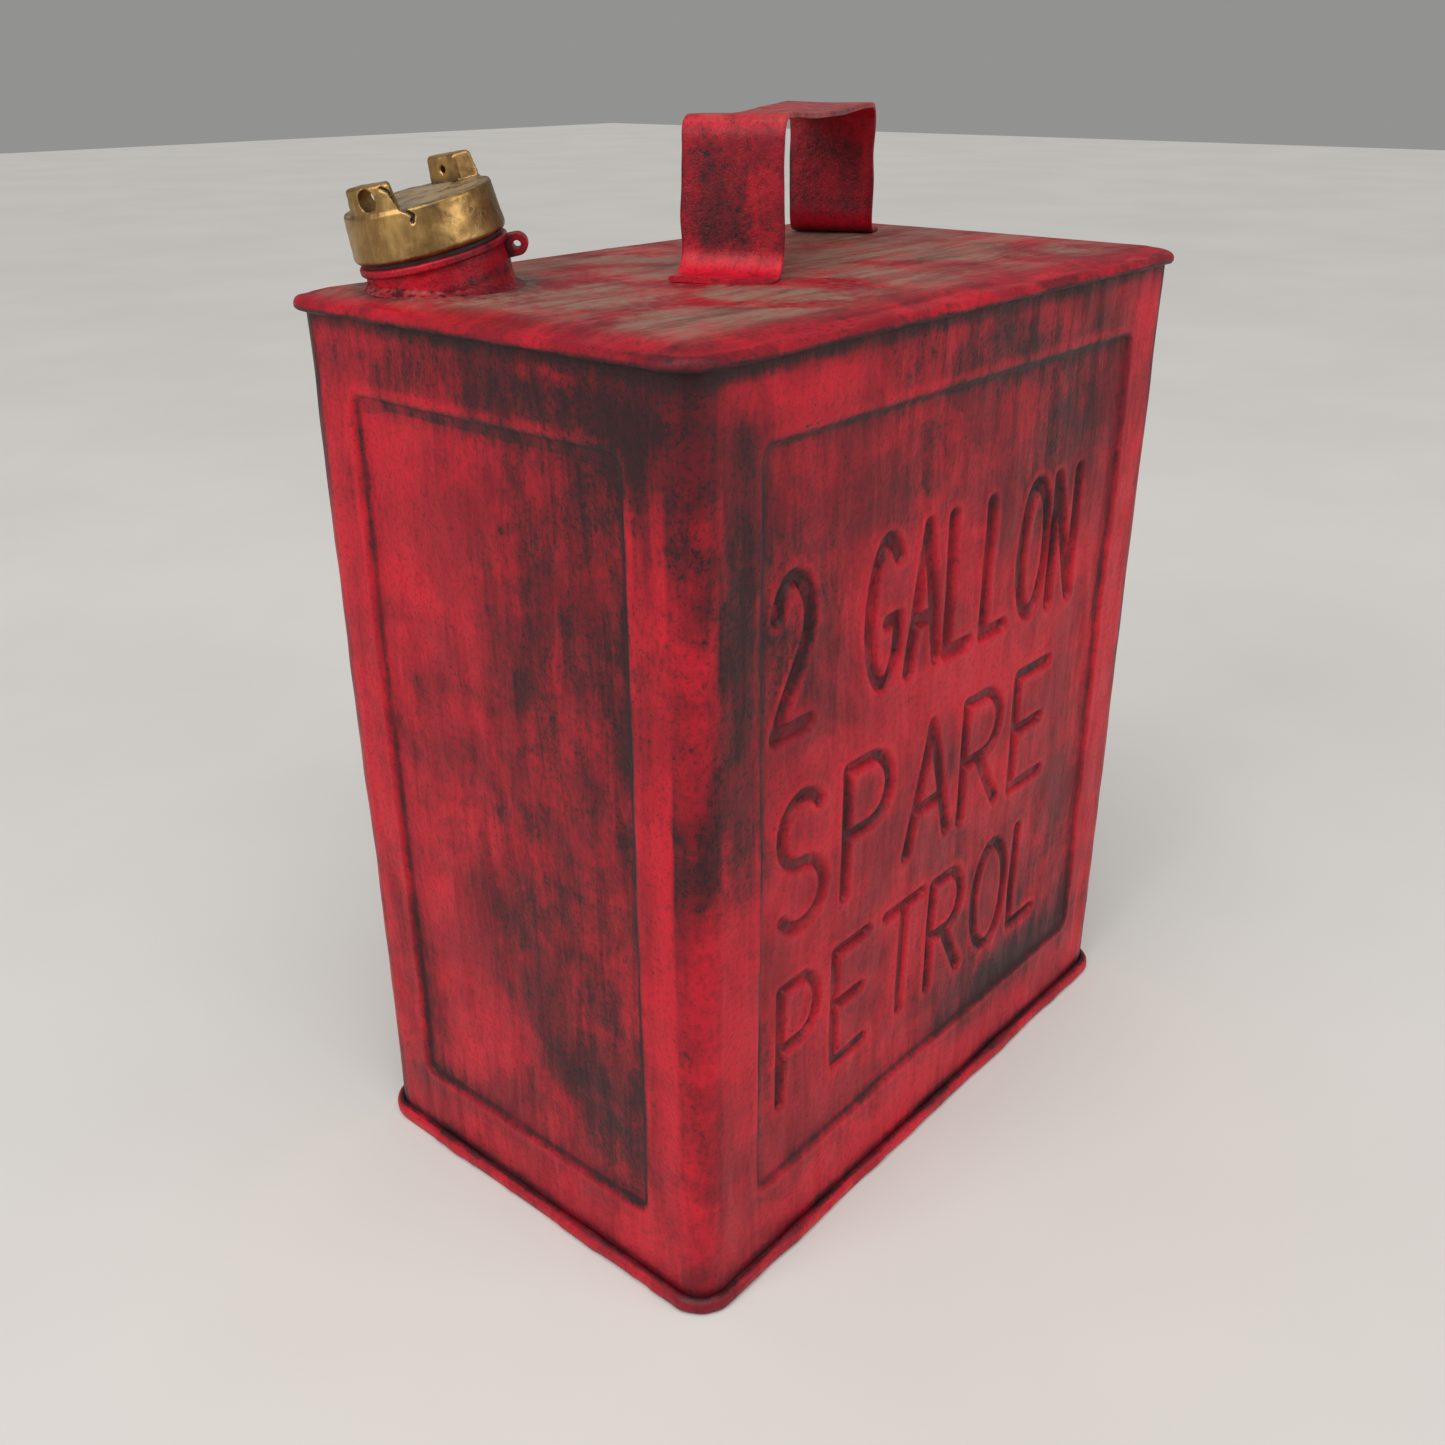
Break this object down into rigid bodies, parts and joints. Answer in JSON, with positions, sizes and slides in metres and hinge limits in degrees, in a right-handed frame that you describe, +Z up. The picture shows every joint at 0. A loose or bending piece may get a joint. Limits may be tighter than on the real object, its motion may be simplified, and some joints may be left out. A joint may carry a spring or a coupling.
{
  "type": "petrol can",
  "caption": "Tall rectangular pressed-steel fuel can with recessed panels, strap handle and leaning neck with a brass screw cap.",
  "frame": {"origin": "middle of the base, on the surface the can stands on", "axes": "+Z up, +X along the wide faces away from the neck, -Y out of the wide face with the pressed words"},
  "size_m": [0.248, 0.154, 0.3288],
  "materials": {
    "body_paint": "worn red paint with dark antique wash",
    "top_paint": "worn red paint under tan dust",
    "handle_paint": "worn red paint with dark mottling",
    "solder": "pitted solder under red paint",
    "brass": "aged brass, dull with dark spots",
    "washer": "matt black"
  },
  "bodies": {
    "can": {"front_shell": "body_paint", "rear_shell": "body_paint", "base_plate": "body_paint", "top_plate": "top_paint", "handle": "handle_paint", "neck_sleeve": "handle_paint", "neck_solder": "solder", "neck_collar": "handle_paint", "seal_lug": "handle_paint"},
    "washer": {"cap_washer": "washer"},
    "cap": {"filler_cap": "brass"}
  },
  "joints": [
    {"name": "cap_rise", "type": "slide", "parent": "can", "child": "washer", "axis": [-0.1986, 0.1056, 0.9744], "range_m": [0, 0.0105]},
    {"name": "cap_turn", "type": "hinge", "parent": "washer", "child": "cap", "pos_m": [-0.09403, 0.04408, 0.29574], "axis": [-0.1986, 0.1056, 0.9744], "range_deg": [0, 1260]}
  ],
  "couplings": [
    {"joint": "cap_rise", "follows": "cap_turn", "m_per_rad": 0.00047746}
  ]
}
